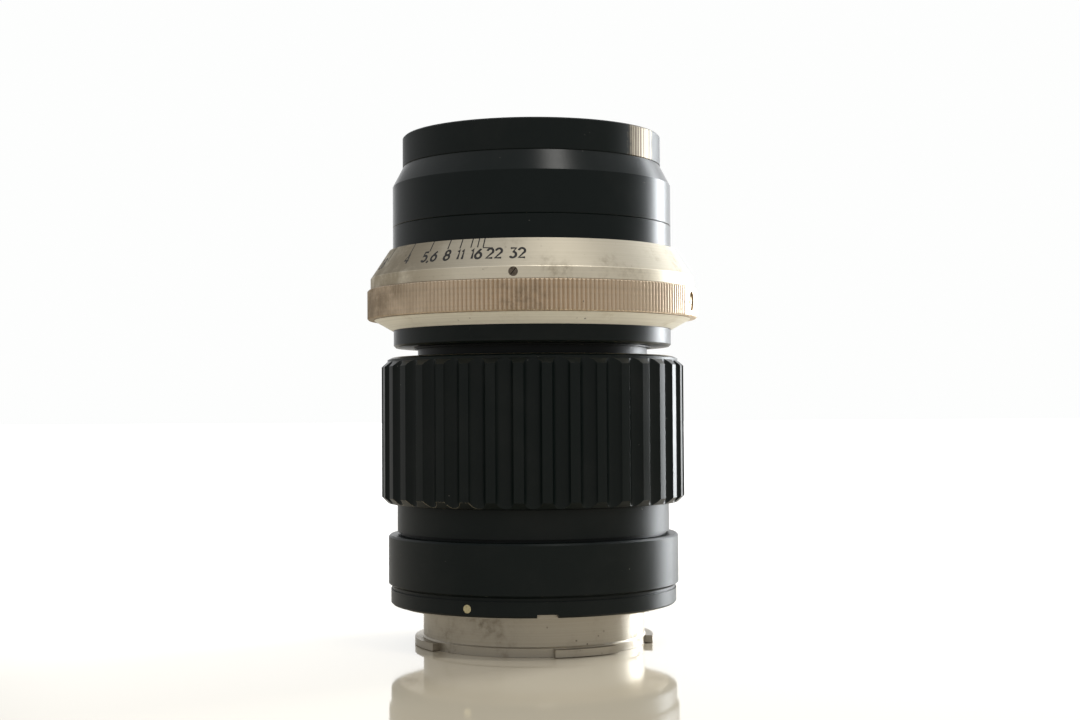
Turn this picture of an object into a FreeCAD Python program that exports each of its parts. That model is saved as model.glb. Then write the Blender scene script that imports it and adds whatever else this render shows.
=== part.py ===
import FreeCAD, Part
import math
import os
import re

import Sketcher

# A darkroom enlarger lens: a lens head with an iris, carried on a focusing mount with a bayonet.
# Frame: +Z is the optical axis, from the bayonet to the front rim, and the origin is at the
# centre of the bayonet tube's rear edge. "Bearing" angles are measured from -Y towards +X.
# Every length is in millimetres and every angle in degrees.

SIZES = {
    # bayonet mount
    "tube_radius": 22.0, "tube_bore": 20.4, "tube_band_radius": 22.2, "tube_band_top": 1.6,
    "lug_radius": 23.7, "lug_base": 0.1, "lug_top": 1.5, "flange_radius": 26.8,
    "flange_base": 7.6, "flange_top": 10.0, "tube_edge": 0.3,
    # wide rear ring
    "ring_base": 8.0, "ring_low_radius": 28.4, "ring_groove_radius": 28.15, "ring_groove_base": 11.0,
    "ring_groove_top": 11.6, "ring_radius": 28.85, "ring_wide_base": 12.1, "ring_top": 21.6,
    "ring_edge": 0.35, "ring_seat": 26.9, "ring_bore": 26.43, "notch_height": 0.65,
    "dot_radius": 0.78, "dot_level": 9.5, "dot_floor": 27.3, "dot_face": 28.42,
    # fixed barrel
    "barrel_radius": 26.4, "barrel_bore": 23.76, "barrel_foot_bore": 22.4, "barrel_foot_top": 14.0,
    "collar_radius": 27.1, "collar_base": 22.2, "collar_top": 27.7, "barrel_thread_radius": 25.6,
    "barrel_thread_base": 36.0, "barrel_top": 42.0,
    # focusing nut, its retainer and the grip
    "retainer_radius": 27.6, "retainer_bore": 25.62, "retainer_lip_base": 44.1, "retainer_top": 46.0,
    "retainer_lip_bore": 24.9, "nut_flange_radius": 25.5, "nut_base": 42.05,
    "nut_flange_top": 44.05, "nut_neck_radius": 24.8, "nut_shoulder": 48.0, "nut_radius": 24.4,
    "nut_top": 56.4, "grip_radius": 30.15, "grip_base": 27.9, "grip_foot_radius": 28.95,
    "grip_foot_corner": 29.1, "grip_run_bore": 26.45, "grip_run_top": 34.0, "grip_skirt_bore": 27.8,
    "grip_web_base": 46.2, "grip_web_bore": 24.9, "grip_bore": 24.43, "grip_land_top": 54.7,
    "grip_collar_radius": 29.0, "grip_collar_base": 55.75, "grip_collar_top": 56.15,
    "grip_top_radius": 28.1, "grip_top": 56.6, "lock_recess_radius": 27.05, "lock_recess_base": 54.6,
    "lock_ring_radius": 27.0, "lock_ring_bore": 24.43, "lock_ring_top": 56.3, "flute_count": 36,
    "flute_cutter": 1.85, "flute_floor": 29.0, "stop_slot_inner": 25.8, "stop_slot_outer": 27.2,
    "stop_slot_top": 47.8, "stop_pin_radius": 0.65, "stop_pin_place": 26.5, "stop_pin_base": 44.3,
    "stop_pin_top": 47.6, "focus_turn": 270.0,
    # carriage, keys and adapter flange
    "carriage_radius": 23.7, "carriage_bore": 20.8, "carriage_base": 16.0, "carriage_top": 60.2,
    "carriage_root": 22.95, "thread_base": 26.5, "thread_top": 58.3, "key_slot_floor": 22.1,
    "key_slot_half": 2.05, "key_slot_top": 44.0, "key_inner": 22.3, "key_outer": 23.64,
    "key_half": 2.0, "key_base": 17.0, "key_top": 40.0, "key_screw_low": 19.0,
    "key_screw_high": 32.0, "adapter_radius": 27.75, "adapter_base": 58.6, "adapter_top": 62.0,
    "adapter_edge": 0.4, "adapter_sleeve_bore": 23.73, "adapter_bore": 19.45,
    "baffle_bore": 18.6, "baffle_top": 17.5, "mount_baffle_bore": 18.8, "mount_baffle_radius": 22.3,
    "mount_baffle_top": 11.0,
    # main barrel of the lens head
    "head_thread_radius": 19.4, "head_thread_base": 57.9, "head_bore": 17.4, "cone_low_radius": 28.0,
    "cone_radius": 31.6, "cone_top": 64.05, "core_radius": 24.2, "core_bore": 22.6,
    "iris_seat": 64.8, "core_top": 80.5, "drive_slot_base": 70.55, "drive_slot_top": 71.99,
    # aperture ring
    "ring_run_bore": 24.25, "sleeve_radius": 26.95, "sleeve_base": 64.2, "knurl_radius": 32.95,
    "knurl_depth": 0.3, "knurl_base": 64.1, "knurl_top": 69.95, "knurl_bore": 27.0,
    "knurl_edge": 0.25, "knurl_pitch": 1.5, "band_radius": 32.3, "band_base": 70.05,
    "band_top": 72.2, "scale_radius": 28.6, "scale_top": 77.8, "scale_land_top": 73.0,
    "scale_recess": 27.95, "aperture_turn": 49.0,
    # front of the lens head
    "front_radius": 27.85, "front_foot": 76.5, "front_sleeve_base": 73.1, "front_sleeve_radius": 26.9,
    "front_bore": 24.22, "seam_level": 82.45, "seam_edge": 0.14, "spigot_radius": 26.0,
    "spigot_top": 86.0, "front_top": 90.6, "cone_end": 94.6, "cone_end_radius": 25.75,
    "front_inner": 24.9, "rim_radius": 25.85, "rim_top": 100.6, "rim_edge": 0.25,
    "rim_spigot_radius": 24.87, "rim_spigot_base": 91.0, "rim_inner": 23.6, "filter_radius": 24.5,
    "filter_base": 96.6, "name_ring_radius": 23.56, "name_ring_base": 92.4, "name_ring_top": 96.3,
    "name_ring_lip": 18.7, "name_ring_lip_top": 93.9, "name_ring_edge": 22.9,
    # cells and glasses
    "front_cell_radius": 22.55, "front_cell_base": 74.0, "front_cell_flange": 24.15,
    "front_cell_flange_top": 82.2, "front_cell_neck": 21.6, "front_cell_top": 92.4,
    "front_seat": 19.25, "front_seat_base": 87.0, "front_lip": 17.5, "inner_seat": 16.05,
    "inner_seat_base": 76.0, "inner_seat_top": 85.4, "inner_lip": 14.3, "inner_ring_top": 86.8,
    "front_spacer_bore": 15.9,
    "front_glass_radius": 19.2, "inner_glass_radius": 16.0, "rear_cell_radius": 17.35,
    "rear_cell_base": 51.0, "rear_cell_top": 64.7, "rear_flange_radius": 18.9,
    "rear_flange_base": 56.3, "rear_flange_top": 57.8, "rear_lip": 13.2, "rear_lip_base": 63.5,
    "rear_inner_seat": 14.55, "rear_inner_base": 57.4, "rear_seat": 15.05, "rear_ring_bore": 13.6,
    "rear_ring_base": 52.15, "rear_ring_top": 53.55, "rear_spacer_bore": 13.2, "rear_spacer_base": 55.0,
    "rear_glass_radius": 15.0, "rear_inner_radius": 14.5,
    # iris
    "iris_bore": 12.7, "iris_plate_radius": 22.55, "iris_plate_top": 66.0, "pivot_place": 20.5,
    "pivot_pin": 0.5, "pivot_hole": 0.55, "blade_level": 66.3, "blade_thickness": 0.05,
    "blade_inner": 12.5, "blade_outer": 22.3, "blade_tail_inner": 18.0, "blade_rise": 0.1, "blade_end": 1.8,
    "drive_arm": 34.2, "drive_pin_top": 71.8, "drive_ring_radius": 22.52, "drive_ring_base": 70.4,
    "drive_ring_top": 72.0, "cover_radius": 22.55, "cover_bore": 14.5, "cover_base": 72.05,
    "cover_top": 73.9,
    # screws
    "mount_screw_place": 24.4, "screw_head": 1.6, "screw_shank": 0.8, "screw_head_height": 0.8,
    "screw_slot_half": 0.2, "screw_slot_depth": 0.4, "radial_slot_depth": 0.6, "mount_screw_tip": 13.4,
    "adapter_screw_place": 21.85, "adapter_screw_tip": 56.4, "key_screw_tip": 22.7,
    "key_screw_head": 1.3, "drive_screw_level": 71.27, "drive_screw_tip": 21.4,
    "drive_screw_shank": 0.6, "drive_screw_head": 0.85, "drive_screw_shoulder": 31.0,
    "drive_screw_face": 32.25, "set_screw_level": 67.05, "set_screw_radius": 1.85,
    "set_screw_tip": 26.97, "set_screw_face": 32.6,
    # gaps between fitted pieces and round the slots
    "fit_gap": 0.03, "slot_gap": 0.1, "thread_gap": 0.05,
}

LUG_BEARINGS = ((9.6, 42.0), (80.0, 142.0), (-118.0, -55.0))
NOTCH_BEARINGS = (1.2, 9.3)
DOT_BEARING = -25.7
SET_SCREW_BEARING = 70.0
DRIVE_SCREW_BEARING = -6.1
PLAIN_BEARINGS = (63.0, 90.0)
KEY_BEARING = 90.0
STOP_PIN_BEARING = 180.0

KNURL_LAND = 0.3            # share of a knurl's pitch that is left as a flat land
SET_SCREW_SLOT = (0.3, 60.0)    # half width and tilt of the driver slot
DRIVE_SCREW_SLOT = (0.16, 50.0)

BLADE_COUNT = 9
BLADE_SWING = 32.3          # turn of a blade from wide open to the smallest stop
BLADE_CLOSED_LEAD = 4.0     # angle at the pivot between the axis and the drive pin when closed
BLADE_TILT_TURN = 14.0      # angle between a blade's uphill direction and the line to its drive pin
BLADE_END_MIDDLE = 50.0     # direction from a blade's pivot to the middle of its rounded end
BLADE_TAIL = 116.0          # angle from a blade's pivot to its tail
BLADE_HEEL = 30.0           # angle from a blade's pivot to the start of its inner edge
BLADE_EDGE_END = 106.0      # angle from a blade's pivot to the end of its inner edge
CAM_STEPS = 12              # steps of the drive pin's path from wide open to the smallest stop
IRIS_PHASE = 83.1           # bearing that keeps the cam slots clear of the drive screw

doc = FreeCAD.newDocument("enlarger_lens")
sheet = doc.addObject("Spreadsheet::Sheet", "Sizes")
nodes = []


def fill_sheet():
    """Write each driving size as a plain number with its word as the cell's alias."""
    for row, (word, value) in enumerate(SIZES.items(), start=1):
        sheet.set("A%d" % row, word)
        sheet.set("B%d" % row, str(value))
        sheet.setAlias("B%d" % row, word)
    doc.recompute()


def size(word):
    """The number that the sheet holds under this word."""
    return float(sheet.get(word))


def bound(formula):
    """Point each word of a formula at its cell in the sheet."""
    return re.sub(r"[a-z][a-z_]*", lambda found: "Sizes." + found.group(0), formula)


def azimuth(bearing):
    """Turn a bearing, from -Y towards +X, into an angle from +X about +Z."""
    return bearing - 90.0


def new_body(name):
    """A body whose label names its file."""
    body = doc.addObject("PartDesign::Body", name)
    body.Label = name
    nodes.append(body)
    return body


def origin_plane(body, role):
    """One of the body's own three base planes."""
    return next(feature for feature in body.Origin.OriginFeatures if feature.Role == role)


def new_sketch(body, role, offset=None):
    """A sketch on one of the body's base planes, moved or turned by offset."""
    sketch = body.newObject("Sketcher::SketchObject", body.Name + "_sketch")
    sketch.AttachmentSupport = [(origin_plane(body, role), "")]
    sketch.MapMode = "FlatFace"
    if offset is not None:
        sketch.AttachmentOffset = offset
    return sketch


def half_plane(body, bearing):
    """A sketch on the half plane through the optical axis at this bearing: x is radius, y is Z."""
    turn = FreeCAD.Rotation(FreeCAD.Vector(0, 1, 0), azimuth(bearing))
    return new_sketch(body, "XZ_Plane", FreeCAD.Placement(FreeCAD.Vector(), turn))


def hold(sketch, kind, geometry, point, formula):
    """Tie one coordinate of a point to the sheet, measured from the sketch's origin."""
    if formula == "0":
        axis = -1 if kind == "DistanceY" else -2
        sketch.addConstraint(Sketcher.Constraint("PointOnObject", geometry, point, axis))
        return
    index = sketch.addConstraint(Sketcher.Constraint(kind, -1, 1, geometry, point, 1.0))
    sketch.setExpression("Constraints[%d]" % index, bound(formula))


def draw_outline(sketch, corners):
    """A closed outline of straight edges whose corners are (x, y) formulas."""
    count = len(corners)
    for index in range(count):
        start = FreeCAD.Vector(math.cos(index), math.sin(index), 0)
        end = FreeCAD.Vector(math.cos(index + 1), math.sin(index + 1), 0)
        sketch.addGeometry(Part.LineSegment(start, end), False)
    for index in range(count):
        sketch.addConstraint(Sketcher.Constraint("Coincident", index, 2, (index + 1) % count, 1))
    for index, (x_formula, y_formula) in enumerate(corners):
        hold(sketch, "DistanceX", index, 1, x_formula)
        hold(sketch, "DistanceY", index, 1, y_formula)


def draw_axis(sketch, edges, start, end):
    """A construction line, drawn after the given number of edges, to turn a profile about."""
    line = Part.LineSegment(FreeCAD.Vector(0, 0, 0), FreeCAD.Vector(1, 1, 0))
    sketch.addGeometry(line, True)
    for point, (x_formula, y_formula) in ((1, start), (2, end)):
        hold(sketch, "DistanceX", edges, point, x_formula)
        hold(sketch, "DistanceY", edges, point, y_formula)


def turn_feature(body, kind, sketch, axis, angle=360.0):
    """A Revolution or Groove of a sketch about one of its axes."""
    feature = body.newObject("PartDesign::" + kind, body.Name + "_" + kind.lower())
    feature.Profile = sketch
    feature.ReferenceAxis = (sketch, [axis])
    feature.Angle = angle
    doc.recompute()
    return feature


def turned(name, corners):
    """A body turned from (radius, level) corners about the optical axis."""
    body = new_body(name)
    sketch = new_sketch(body, "XZ_Plane")
    draw_outline(sketch, corners)
    turn_feature(body, "Revolution", sketch, "V_Axis")
    return body


def sector(body, kind, corners, bearings):
    """Add or cut part of a ring between two bearings."""
    sketch = half_plane(body, bearings[0])
    draw_outline(sketch, corners)
    return turn_feature(body, kind, sketch, "V_Axis", bearings[1] - bearings[0])


def spindle(body, kind, bearing, corners, start, end):
    """Add or cut a shape turned about its own axis in the half plane at this bearing."""
    sketch = half_plane(body, bearing)
    draw_outline(sketch, corners)
    draw_axis(sketch, len(corners), start, end)
    return turn_feature(body, kind, sketch, "Axis0")


def repeat(body, features, count):
    """Repeat features evenly about the optical axis and make the result the body's tip."""
    pattern = body.newObject("PartDesign::PolarPattern", body.Name + "_pattern")
    pattern.Originals = features
    pattern.Axis = (origin_axis(body, "Z_Axis"), [""])
    pattern.Angle = 360.0
    pattern.Occurrences = count
    body.Tip = pattern
    doc.recompute()


def origin_axis(body, role):
    """One of the body's own three base axes."""
    return next(feature for feature in body.Origin.OriginFeatures if feature.Role == role)


def pocket(body, sketch, depth_formula):
    """Cut a sketch on the XY plane upwards from its level."""
    feature = body.newObject("PartDesign::Pocket", body.Name + "_pocket")
    feature.Profile = sketch
    feature.Type = "Length"
    feature.Reversed = True
    feature.setExpression("Length", bound(depth_formula))
    doc.recompute()
    return feature


def level_sketch(body, formula):
    """A sketch on the XY plane, raised to a level of the sheet."""
    sketch = new_sketch(body, "XY_Plane")
    sketch.setExpression("AttachmentOffset.Base.z", bound(formula))
    return sketch


def rectangle(low_x, high_x, low_y, high_y):
    """The four corners of a rectangle, as formulas."""
    return [(low_x, low_y), (high_x, low_y), (high_x, high_y), (low_x, high_y)]


def ring_section(inner, outer, base, top):
    """The rectangular section of a plain ring."""
    return rectangle(inner, outer, base, top)


def turned_placement(turn):
    """A placement that turns a node about the optical axis."""
    return FreeCAD.Placement(FreeCAD.Vector(), FreeCAD.Rotation(FreeCAD.Vector(0, 0, 1), turn))


def solid_node(name, shape, turn=0.0):
    """A node whose shape comes from Part's own functions, turned about the optical axis."""
    feature = doc.addObject("Part::Feature", name)
    feature.Label = name
    feature.Shape = shape
    feature.Placement = turned_placement(turn)
    nodes.append(feature)
    return feature


def polar(radius, angle, level=0.0):
    """The point at this radius and at this angle from +X."""
    turn = math.radians(angle)
    return FreeCAD.Vector(radius * math.cos(turn), radius * math.sin(turn), level)


# ---------------------------------------------------------------- mount, the part that stands still

def make_bayonet_mount():
    body = turned("bayonet_mount", [
        ("tube_bore", "tube_edge"), ("tube_bore + tube_edge", "0"), ("tube_band_radius", "0"),
        ("tube_band_radius", "tube_band_top"), ("tube_radius", "tube_band_top + tube_edge"),
        ("tube_radius", "flange_base"), ("flange_radius", "flange_base"),
        ("flange_radius", "flange_top"), ("tube_bore", "flange_top")])
    lug = ring_section("tube_bore + tube_edge", "lug_radius", "lug_base", "lug_top")
    for bearings in LUG_BEARINGS:
        sector(body, "Revolution", lug, bearings)
    hole = spindle(body, "Groove", 0.0, [
        ("mount_screw_place", "flange_base"),
        ("mount_screw_place + screw_head + fit_gap", "flange_base"),
        ("mount_screw_place + screw_head + fit_gap", "flange_base + screw_slot_half"),
        ("mount_screw_place + screw_shank + fit_gap", "flange_base + screw_slot_half + screw_head_height"),
        ("mount_screw_place + screw_shank + fit_gap", "flange_top"),
        ("mount_screw_place", "flange_top")],
        ("mount_screw_place", "flange_base"), ("mount_screw_place", "flange_top"))
    repeat(body, [hole], 4)


def make_mount_screws():
    body = new_body("mount_screws")
    body.AllowCompound = True
    screw = spindle(body, "Revolution", 0.0, [
        ("mount_screw_place", "flange_base + screw_slot_half"),
        ("mount_screw_place + screw_head", "flange_base + screw_slot_half"),
        ("mount_screw_place + screw_shank", "flange_base + screw_slot_half + screw_head_height"),
        ("mount_screw_place + screw_shank", "mount_screw_tip"),
        ("mount_screw_place", "mount_screw_tip")],
        ("mount_screw_place", "flange_base"), ("mount_screw_place", "mount_screw_tip"))
    sketch = level_sketch(body, "flange_base")
    draw_outline(sketch, [
        ("screw_slot_half", "-mount_screw_place - screw_head - fit_gap"),
        ("screw_slot_half", "screw_head + fit_gap - mount_screw_place"),
        ("-screw_slot_half", "screw_head + fit_gap - mount_screw_place"),
        ("-screw_slot_half", "-mount_screw_place - screw_head - fit_gap")])
    slot = pocket(body, sketch, "screw_slot_half + screw_slot_depth")
    repeat(body, [screw, slot], 4)


def make_rear_ring():
    body = turned("rear_ring", [
        ("ring_seat", "ring_base"), ("ring_low_radius - ring_edge", "ring_base"),
        ("ring_low_radius", "ring_base + ring_edge"), ("ring_low_radius", "ring_groove_base"),
        ("ring_groove_radius", "ring_groove_base"), ("ring_groove_radius", "ring_groove_top"),
        ("ring_radius", "ring_wide_base"), ("ring_radius", "ring_top - ring_edge"),
        ("ring_radius - ring_edge", "ring_top"), ("ring_bore", "ring_top"),
        ("ring_bore", "flange_top"), ("ring_seat", "flange_top")])
    sector(body, "Groove",
           ring_section("ring_seat - ring_edge", "ring_radius", "ring_base - ring_edge",
                        "ring_base + notch_height"), NOTCH_BEARINGS)
    spindle(body, "Groove", DOT_BEARING, [
        ("dot_floor", "dot_level"), ("ring_radius", "dot_level"),
        ("ring_radius", "dot_level + dot_radius + fit_gap"),
        ("dot_floor", "dot_level + dot_radius + fit_gap")],
        ("dot_floor", "dot_level"), ("ring_radius", "dot_level"))


def make_index_dot():
    body = new_body("index_dot")
    spindle(body, "Revolution", DOT_BEARING, [
        ("dot_floor + fit_gap", "dot_level"), ("dot_face", "dot_level"),
        ("dot_face", "dot_level + dot_radius"), ("dot_floor + fit_gap", "dot_level + dot_radius")],
        ("dot_floor", "dot_level"), ("dot_face", "dot_level"))


def make_fixed_barrel():
    body = turned("fixed_barrel", [
        ("barrel_foot_bore", "flange_top"), ("barrel_radius", "flange_top"),
        ("barrel_radius", "collar_base"), ("collar_radius", "collar_base"),
        ("collar_radius", "collar_top"), ("barrel_radius", "collar_top"),
        ("barrel_radius", "barrel_thread_base"), ("barrel_thread_radius", "barrel_thread_base"),
        ("barrel_thread_radius", "barrel_top"), ("barrel_bore", "barrel_top"),
        ("barrel_bore", "barrel_foot_top"), ("barrel_foot_bore", "barrel_foot_top")])
    sketch = level_sketch(body, "flange_top")
    draw_circle(sketch, "0", "-mount_screw_place", "screw_shank + fit_gap")
    hole = pocket(body, sketch, "barrel_foot_top - flange_top")
    repeat(body, [hole], 4)
    for level in ("key_screw_low", "key_screw_high"):
        bore = [
            ("barrel_foot_bore", level), ("barrel_radius + ring_edge", level),
            ("barrel_radius + ring_edge", level + " + key_screw_head + fit_gap"),
            ("barrel_radius - screw_head_height", level + " + key_screw_head + fit_gap"),
            ("barrel_radius - screw_head_height", level + " + screw_shank + fit_gap"),
            ("barrel_foot_bore", level + " + screw_shank + fit_gap")]
        for bearing in (KEY_BEARING, -KEY_BEARING):
            spindle(body, "Groove", bearing, bore, ("barrel_foot_bore", level), ("barrel_radius", level))


def draw_circle(sketch, x_formula, y_formula, radius_formula):
    """A circle whose centre and radius are formulas."""
    index = sketch.addGeometry(Part.Circle(FreeCAD.Vector(1, 1, 0), FreeCAD.Vector(0, 0, 1), 1.0), False)
    if x_formula == "0":
        sketch.addConstraint(Sketcher.Constraint("PointOnObject", index, 3, -2))
    else:
        hold(sketch, "DistanceX", index, 3, x_formula)
    hold(sketch, "DistanceY", index, 3, y_formula)
    constraint = sketch.addConstraint(Sketcher.Constraint("Radius", index, 1.0))
    sketch.setExpression("Constraints[%d]" % constraint, bound(radius_formula))


def make_guide_keys():
    body = new_body("guide_keys")
    body.AllowCompound = True
    sketch = level_sketch(body, "key_base")
    draw_outline(sketch, rectangle("key_inner", "key_outer", "-key_half", "key_half"))
    key = body.newObject("PartDesign::Pad", "guide_keys_pad")
    key.Profile = sketch
    key.setExpression("Length", bound("key_top - key_base"))
    doc.recompute()
    holes = []
    for level in ("key_screw_low", "key_screw_high"):
        holes.append(spindle(body, "Groove", KEY_BEARING, [
            ("key_inner", level), ("barrel_radius", level),
            ("barrel_radius", level + " + screw_shank + fit_gap"),
            ("key_inner", level + " + screw_shank + fit_gap")],
            ("key_inner", level), ("barrel_radius", level)))
    repeat(body, [key] + holes, 2)


def make_key_screws():
    body = new_body("key_screws")
    body.AllowCompound = True
    for bearing in (KEY_BEARING, -KEY_BEARING):
        for level in ("key_screw_low", "key_screw_high"):
            spindle(body, "Revolution", bearing, [
                ("key_screw_tip", level), ("barrel_radius - fit_gap", level),
                ("barrel_radius - fit_gap", level + " + key_screw_head"),
                ("barrel_radius - screw_head_height + fit_gap", level + " + key_screw_head"),
                ("barrel_radius - screw_head_height + fit_gap", level + " + screw_shank"),
                ("key_screw_tip", level + " + screw_shank")],
                ("key_screw_tip", level), ("barrel_radius", level))


def make_nut_retainer():
    body = turned("nut_retainer", [
        ("retainer_bore", "barrel_thread_base"), ("retainer_radius", "barrel_thread_base"),
        ("retainer_radius", "retainer_top"), ("retainer_lip_bore", "retainer_top"),
        ("retainer_lip_bore", "retainer_lip_base"), ("retainer_bore", "retainer_lip_base")])
    spindle(body, "Groove", STOP_PIN_BEARING, [
        ("stop_pin_place", "stop_pin_base"), ("stop_pin_place + stop_pin_radius + fit_gap", "stop_pin_base"),
        ("stop_pin_place + stop_pin_radius + fit_gap", "retainer_top"), ("stop_pin_place", "retainer_top")],
        ("stop_pin_place", "stop_pin_base"), ("stop_pin_place", "retainer_top"))


def make_focus_stop_pin():
    body = new_body("focus_stop_pin")
    spindle(body, "Revolution", STOP_PIN_BEARING, [
        ("stop_pin_place", "stop_pin_base + fit_gap"),
        ("stop_pin_place + stop_pin_radius", "stop_pin_base + fit_gap"),
        ("stop_pin_place + stop_pin_radius", "stop_pin_top"), ("stop_pin_place", "stop_pin_top")],
        ("stop_pin_place", "stop_pin_base"), ("stop_pin_place", "stop_pin_top"))


def make_mount_baffle():
    turned("mount_baffle", [
        ("mount_baffle_bore", "flange_top"), ("mount_baffle_radius", "flange_top"),
        ("mount_baffle_radius", "mount_baffle_top"), ("mount_baffle_bore + ring_edge", "mount_baffle_top")])


# ---------------------------------------------------------------- focusing ring

def make_focus_grip():
    body = turned("focus_grip", [
        ("grip_run_bore", "grip_base"), ("grip_foot_radius", "grip_base"),
        ("grip_radius", "grip_foot_corner"), ("grip_radius", "grip_land_top"),
        ("grip_collar_radius", "grip_collar_base"), ("grip_collar_radius", "grip_collar_top"),
        ("grip_top_radius", "grip_top"), ("lock_recess_radius", "grip_top"),
        ("lock_recess_radius", "lock_recess_base"), ("grip_bore", "lock_recess_base"),
        ("grip_bore", "nut_shoulder"), ("grip_web_bore", "nut_shoulder"),
        ("grip_web_bore", "grip_web_base"), ("grip_skirt_bore", "grip_web_base"),
        ("grip_skirt_bore", "grip_run_top"), ("grip_run_bore", "grip_run_top")])
    pin_half = math.degrees((size("stop_pin_radius") + size("fit_gap")) / size("stop_pin_place"))
    sector(body, "Groove",
           ring_section("stop_slot_inner", "stop_slot_outer", "grip_web_base - ring_edge", "stop_slot_top"),
           (STOP_PIN_BEARING - pin_half, STOP_PIN_BEARING + size("focus_turn") + pin_half))
    sketch = level_sketch(body, "grip_base - ring_edge")
    draw_circle(sketch, "0", "-flute_floor - flute_cutter", "flute_cutter")
    flute = pocket(body, sketch, "grip_collar_top - grip_base")
    repeat(body, [flute], int(size("flute_count")))


def make_grip_lock_ring():
    body = turned("grip_lock_ring",
                  ring_section("lock_ring_bore", "lock_ring_radius", "lock_recess_base", "lock_ring_top"))
    sketch = level_sketch(body, "lock_ring_top - screw_slot_depth")
    draw_outline(sketch, rectangle("lock_ring_bore - ring_edge", "lock_ring_radius + ring_edge",
                                   "-screw_shank", "screw_shank"))
    slot = pocket(body, sketch, "screw_head_height")
    repeat(body, [slot], 2)


def ring_shape(inner, outer, base, top):
    """A plain ring made with Part."""
    axis = FreeCAD.Vector(0, 0, 1)
    place = FreeCAD.Vector(0, 0, base)
    return Part.makeCylinder(outer, top - base, place, axis).cut(
        Part.makeCylinder(inner, top - base, place, axis))


# ---------------------------------------------------------------- carriage and lens head

def make_carriage_baffle():
    turned("carriage_baffle", ring_section("baffle_bore", "carriage_bore - fit_gap", "carriage_base",
                                           "baffle_top"))


def make_adapter_flange():
    body = turned("adapter_flange", [
        ("adapter_sleeve_bore", "adapter_base"), ("adapter_radius - adapter_edge", "adapter_base"),
        ("adapter_radius", "adapter_base + adapter_edge"), ("adapter_radius", "adapter_top"),
        ("adapter_bore", "adapter_top"), ("adapter_bore", "carriage_top"),
        ("adapter_sleeve_bore", "carriage_top")])
    hole = spindle(body, "Groove", 0.0, [
        ("adapter_screw_place", "carriage_top"),
        ("adapter_screw_place + screw_shank + fit_gap", "carriage_top"),
        ("adapter_screw_place + screw_shank + fit_gap", "adapter_top - screw_head_height - fit_gap"),
        ("adapter_screw_place + screw_head + fit_gap", "adapter_top"),
        ("adapter_screw_place", "adapter_top")],
        ("adapter_screw_place", "carriage_top"), ("adapter_screw_place", "adapter_top"))
    repeat(body, [hole], 4)


def make_adapter_screws():
    body = new_body("adapter_screws")
    body.AllowCompound = True
    screw = spindle(body, "Revolution", 0.0, [
        ("adapter_screw_place", "adapter_screw_tip"),
        ("adapter_screw_place + screw_shank", "adapter_screw_tip"),
        ("adapter_screw_place + screw_shank", "adapter_top - screw_head_height - fit_gap"),
        ("adapter_screw_place + screw_head - fit_gap", "adapter_top - fit_gap"),
        ("adapter_screw_place", "adapter_top - fit_gap")],
        ("adapter_screw_place", "adapter_screw_tip"), ("adapter_screw_place", "adapter_top"))
    sketch = level_sketch(body, "adapter_top - fit_gap - screw_slot_depth")
    draw_outline(sketch, [
        ("screw_slot_half", "-adapter_screw_place - screw_head - fit_gap"),
        ("screw_slot_half", "screw_head + fit_gap - adapter_screw_place"),
        ("-screw_slot_half", "screw_head + fit_gap - adapter_screw_place"),
        ("-screw_slot_half", "-adapter_screw_place - screw_head - fit_gap")])
    slot = pocket(body, sketch, "screw_head_height")
    repeat(body, [screw, slot], 4)


def make_main_barrel():
    body = turned("main_barrel", [
        ("head_bore", "head_thread_base"), ("head_thread_radius", "head_thread_base"),
        ("head_thread_radius", "adapter_top"), ("cone_low_radius", "adapter_top"),
        ("cone_radius", "cone_top - fit_gap"), ("cone_radius", "cone_top"),
        ("core_radius", "cone_top"), ("core_radius", "core_top"), ("core_bore", "core_top"),
        ("core_bore", "iris_seat"), ("head_bore", "iris_seat")])
    pin_half = math.degrees((size("drive_screw_shank") + size("slot_gap")) / size("core_radius"))
    sector(body, "Groove",
           ring_section("core_bore - ring_edge", "core_radius + ring_edge", "drive_slot_base",
                        "drive_slot_top"),
           (DRIVE_SCREW_BEARING - size("aperture_turn") - pin_half, DRIVE_SCREW_BEARING + pin_half))


def make_front_barrel_lower():
    turned("front_barrel_lower", [
        ("front_bore", "front_sleeve_base"), ("front_sleeve_radius", "front_sleeve_base"),
        ("front_sleeve_radius", "front_foot"), ("front_radius", "front_foot"),
        ("front_radius", "seam_level - seam_edge"), ("front_radius - seam_edge", "seam_level"),
        ("spigot_radius", "seam_level"), ("spigot_radius", "spigot_top"),
        ("front_bore", "spigot_top")])


def make_front_barrel_upper():
    turned("front_barrel_upper", [
        ("spigot_radius + fit_gap", "seam_level"), ("front_radius - seam_edge", "seam_level"),
        ("front_radius", "seam_level + seam_edge"), ("front_radius", "front_top"),
        ("cone_end_radius", "cone_end"), ("front_inner", "cone_end"),
        ("front_inner", "spigot_top + fit_gap"),
        ("spigot_radius + fit_gap", "spigot_top + fit_gap")])


def make_front_rim():
    turned("front_rim", [
        ("rim_inner", "rim_spigot_base"), ("rim_spigot_radius", "rim_spigot_base"),
        ("rim_spigot_radius", "cone_end"), ("rim_radius - seam_edge", "cone_end"),
        ("rim_radius", "cone_end + seam_edge"), ("rim_radius", "rim_top - rim_edge"),
        ("rim_radius - rim_edge", "rim_top"), ("filter_radius + rim_edge", "rim_top"),
        ("filter_radius", "rim_top - rim_edge"), ("filter_radius", "filter_base"),
        ("rim_inner", "filter_base")])


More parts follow.
